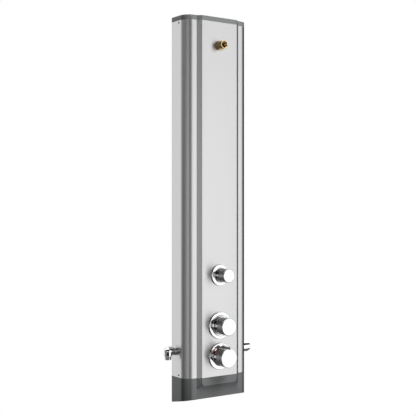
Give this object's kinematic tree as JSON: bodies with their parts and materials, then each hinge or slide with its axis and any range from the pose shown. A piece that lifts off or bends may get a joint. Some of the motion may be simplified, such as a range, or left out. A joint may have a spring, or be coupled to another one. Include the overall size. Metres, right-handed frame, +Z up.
{
  "type": "shower panel column",
  "caption": "Tall wall-mounted shower column in satin aluminium with grey end caps, a thermostat knob, a self-closing button, a diverter and a brass shower-head outlet.",
  "frame": {"origin": "middle of the lowest rear edge, on the wall", "axes": "+Z up, +Y into the wall, +X to the right of someone facing the panel"},
  "size_m": [0.3212, 0.1415, 1.2],
  "materials": {
    "satin_aluminium": "satin anodised",
    "grey_cap": "fine grain, dark grey",
    "chrome": "polished",
    "grey_button": "smooth grey moulding",
    "black_plastic": "black moulding",
    "pale_plastic": "pale moulding",
    "brass": "as cast and machined",
    "outlet_brass": "turned, bare",
    "copper": "drawn tube",
    "steel": "stainless",
    "black_steel": "blackened",
    "rubber": "black sealing rubber"
  },
  "bodies": {
    "panel": {"bottom_cap": "grey_cap", "bottom_cap_screws": "steel", "cold_inlet_nut": "brass", "cold_supply_pipe": "copper", "compression_nuts": "brass", "diverter_body": "brass", "diverter_cartridge": "pale_plastic", "diverter_escutcheon": "chrome", "diverter_ring_nut": "brass", "hand_shower_pipe": "copper", "holder_rosette": "chrome", "hose_elbow": "chrome", "hose_elbow_collar": "chrome", "hose_elbow_locknut": "brass", "hose_inner_elbow": "brass", "hot_inlet_nut": "brass", "hot_supply_pipe": "copper", "housing_profile": "satin_aluminium", "inlet_collars": "copper", "inlet_washers": "rubber", "lower_link_pipe": "copper", "lower_wall_bracket": "steel", "outlet_elbow": "brass", "outlet_locknut": "outlet_brass", "outlet_socket": "outlet_brass", "push_button_spring": "steel", "push_valve_body": "brass", "push_valve_cartridge": "pale_plastic", "push_valve_escutcheon": "chrome", "push_valve_ring_nut": "brass", "riser_clips": "grey_cap", "riser_pipe": "copper", "side_locking_screws": "black_steel", "thermostat_body": "brass", "thermostat_cartridge": "pale_plastic", "thermostat_escutcheon": "chrome", "thermostat_ring_nut": "brass", "thermostat_stop_ring": "black_plastic", "top_cap": "grey_cap", "top_cap_screws": "steel", "upper_link_pipe": "copper", "upper_wall_bracket": "steel", "valve_gaskets": "rubber"},
    "thermostat_handle": {"thermostat_knob": "chrome", "thermostat_knob_cap": "chrome", "thermostat_knob_screw": "steel", "thermostat_spindle": "brass", "safety_stop_spring": "steel"},
    "stop_button": {"safety_stop_button": "grey_button"},
    "push_handle": {"push_button": "chrome", "push_plunger": "steel"},
    "diverter_handle": {"diverter_knob": "chrome", "diverter_grub_screw": "black_steel", "diverter_spindle": "brass"},
    "handset_cradle": {"handset_holder": "chrome", "holder_stub": "steel", "holder_nut": "steel"}
  },
  "joints": [
    {"name": "thermostat_turn", "type": "hinge", "parent": "panel", "child": "thermostat_handle", "pos_m": [0, -0.0905, 0.1435], "axis": [0, -1, 0], "range_deg": [-100, 70]},
    {"name": "stop_button_press", "type": "slide", "parent": "thermostat_handle", "child": "stop_button", "axis": [0, 0, -1], "range_m": [0, 0.003], "stiffness_N_per_m": 600, "springref_m": -0.003, "deforming": ["safety_stop_spring"]},
    {"name": "timed_button_press", "type": "slide", "parent": "panel", "child": "push_handle", "axis": [0, 1, 0], "range_m": [0, 0.0075], "stiffness_N_per_m": 1500, "springref_m": -0.005, "deforming": ["push_button_spring"]},
    {"name": "diverter_turn", "type": "hinge", "parent": "panel", "child": "diverter_handle", "pos_m": [0, -0.0905, 0.3965], "axis": [0, -1, 0], "range_deg": [0, 90]},
    {"name": "cradle_swivel", "type": "hinge", "parent": "panel", "child": "handset_cradle", "pos_m": [0.1195, -0.0225, 0.1525], "axis": [1, 0, 0], "range_deg": [-45, 45]}
  ]
}
